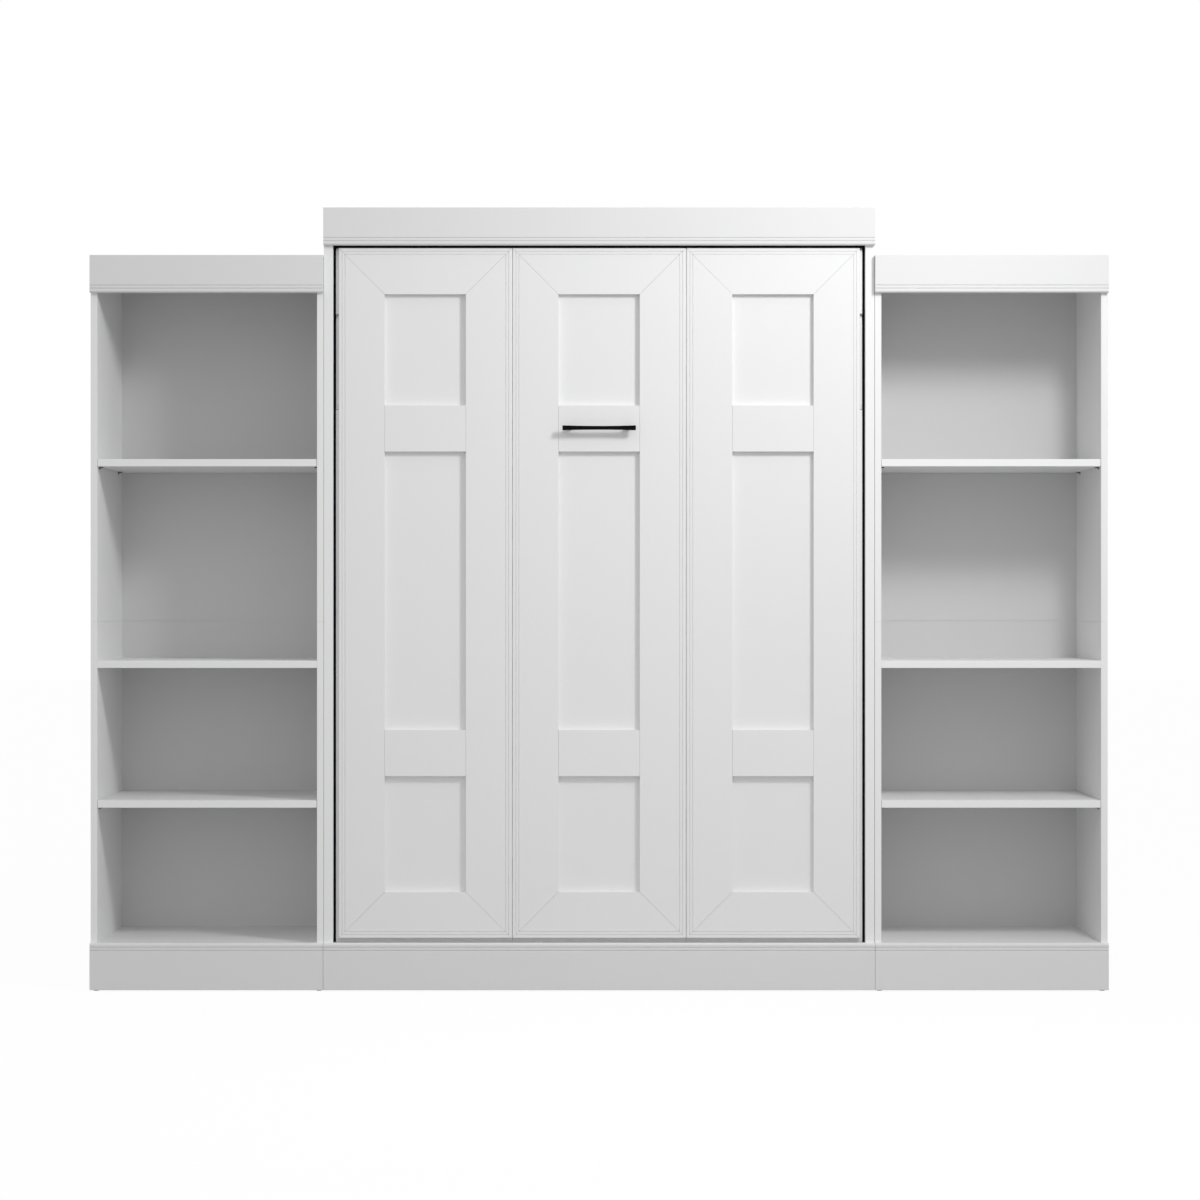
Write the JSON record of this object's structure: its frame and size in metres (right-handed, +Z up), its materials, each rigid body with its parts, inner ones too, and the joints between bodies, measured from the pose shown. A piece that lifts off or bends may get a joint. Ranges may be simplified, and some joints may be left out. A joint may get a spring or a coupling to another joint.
{
  "type": "wall bed",
  "caption": "White fold-down wall bed with a framed panel front and a bar handle, between open shelving units; it lowers on a side hinge with gas springs and folding legs.",
  "frame": {"origin": "on the floor, in the middle of the overall width and depth", "axes": "+X to the right as seen from the front, +Y back towards the wall, +Z up"},
  "size_m": [2.7776, 0.438, 2.1375],
  "materials": {
    "white_board": "satin",
    "white_back_board": "matte",
    "white_front": "satin",
    "white_frame": "satin",
    "slat_wood": "matte",
    "black_handle": "satin",
    "black_rubber": "matte",
    "white_rubber": "matte",
    "white_steel": "satin",
    "black_cylinder": "satin",
    "dark_support": "matte",
    "bush_plastic": "matte",
    "bright_steel": "satin"
  },
  "bodies": {
    "cabinet": {"cabinet_base": "white_board", "cabinet_crown": "white_board", "cabinet_screws": "bright_steel", "cabinet_side_left": "white_board", "cabinet_side_right": "white_board", "cabinet_top": "white_board", "closing_stops": "white_board", "floor_glides": "black_rubber", "front_rails": "white_board", "headboard": "white_board", "pivot_plates": "bright_steel", "seal_strips": "black_rubber", "shelf_supports": "dark_support", "spring_anchors": "bright_steel", "stop_bumpers": "black_rubber", "unit_left_adjustable_shelves": "white_board", "unit_left_back": "white_back_board", "unit_left_base": "white_board", "unit_left_bottom": "white_board", "unit_left_crown": "white_board", "unit_left_fixed_shelf": "white_board", "unit_left_inner_side": "white_board", "unit_left_outer_side": "white_board", "unit_left_top": "white_board", "unit_right_adjustable_shelves": "white_board", "unit_right_back": "white_back_board", "unit_right_base": "white_board", "unit_right_bottom": "white_board", "unit_right_crown": "white_board", "unit_right_fixed_shelf": "white_board", "unit_right_inner_side": "white_board", "unit_right_outer_side": "white_board", "unit_right_top": "white_board", "wall_rails": "white_board"},
    "bed": {"bed_end_rails": "white_frame", "bed_screws": "bright_steel", "bed_side_rails": "white_frame", "centre_beam": "white_frame", "door_frame_centre": "white_front", "door_frame_left": "white_front", "door_frame_right": "white_front", "door_panel_centre": "white_front", "door_panel_left": "white_front", "door_panel_right": "white_front", "handle_bar": "black_handle", "handle_posts": "black_handle", "hinge_bushes": "bush_plastic", "hinge_plate_left": "bright_steel", "hinge_plate_right": "bright_steel", "leg_pivots": "bright_steel", "slat_ledges": "white_frame", "slats": "slat_wood"},
    "leg_left": {"leg_left": "white_steel", "leg_pad_left": "white_rubber"},
    "leg_right": {"leg_right": "white_steel", "leg_pad_right": "white_rubber"},
    "spring_cylinder_left": {"spring_cylinder_left": "black_cylinder"},
    "spring_cylinder_right": {"spring_cylinder_right": "black_cylinder"},
    "spring_rod_left": {"spring_rod_left": "bright_steel"},
    "spring_rod_right": {"spring_rod_right": "bright_steel"}
  },
  "joints": [
    {"name": "bed_tilt", "type": "hinge", "parent": "cabinet", "child": "bed", "pos_m": [0, -0.071, 0.32], "axis": [1, 0, 0], "range_deg": [0, 90], "stiffness_Nm_per_rad": 177, "springref_deg": -20.05},
    {"name": "leg_left_fold", "type": "hinge", "parent": "bed", "child": "leg_left", "pos_m": [-0.7162, -0.15, 1.83], "axis": [1, 0, 0], "range_deg": [-90, 0]},
    {"name": "spring_cylinder_left_swing", "type": "hinge", "parent": "cabinet", "child": "spring_cylinder_left", "pos_m": [-0.7085, 0.04223, 0.49089], "axis": [1, 0, 0], "range_deg": [0, 45]},
    {"name": "spring_rod_left_swing", "type": "hinge", "parent": "bed", "child": "spring_rod_left", "pos_m": [-0.7085, -0.12406, 0.12198], "axis": [1, 0, 0], "range_deg": [-45, 0]},
    {"name": "leg_right_fold", "type": "hinge", "parent": "bed", "child": "leg_right", "pos_m": [0.7162, -0.15, 1.83], "axis": [1, 0, 0], "range_deg": [-90, 0]},
    {"name": "spring_cylinder_right_swing", "type": "hinge", "parent": "cabinet", "child": "spring_cylinder_right", "pos_m": [0.7085, 0.04223, 0.49089], "axis": [1, 0, 0], "range_deg": [0, 45]},
    {"name": "spring_rod_right_swing", "type": "hinge", "parent": "bed", "child": "spring_rod_right", "pos_m": [0.7085, -0.12406, 0.12198], "axis": [1, 0, 0], "range_deg": [-45, 0]}
  ],
  "couplings": [
    {"joint": "leg_left_fold", "follows": "bed_tilt", "ratio": -1},
    {"joint": "spring_cylinder_left_swing", "follows": "bed_tilt", "ratio": 0.5},
    {"joint": "spring_rod_left_swing", "follows": "bed_tilt", "ratio": -0.5},
    {"joint": "leg_right_fold", "follows": "bed_tilt", "ratio": -1},
    {"joint": "spring_cylinder_right_swing", "follows": "bed_tilt", "ratio": 0.5},
    {"joint": "spring_rod_right_swing", "follows": "bed_tilt", "ratio": -0.5}
  ]
}
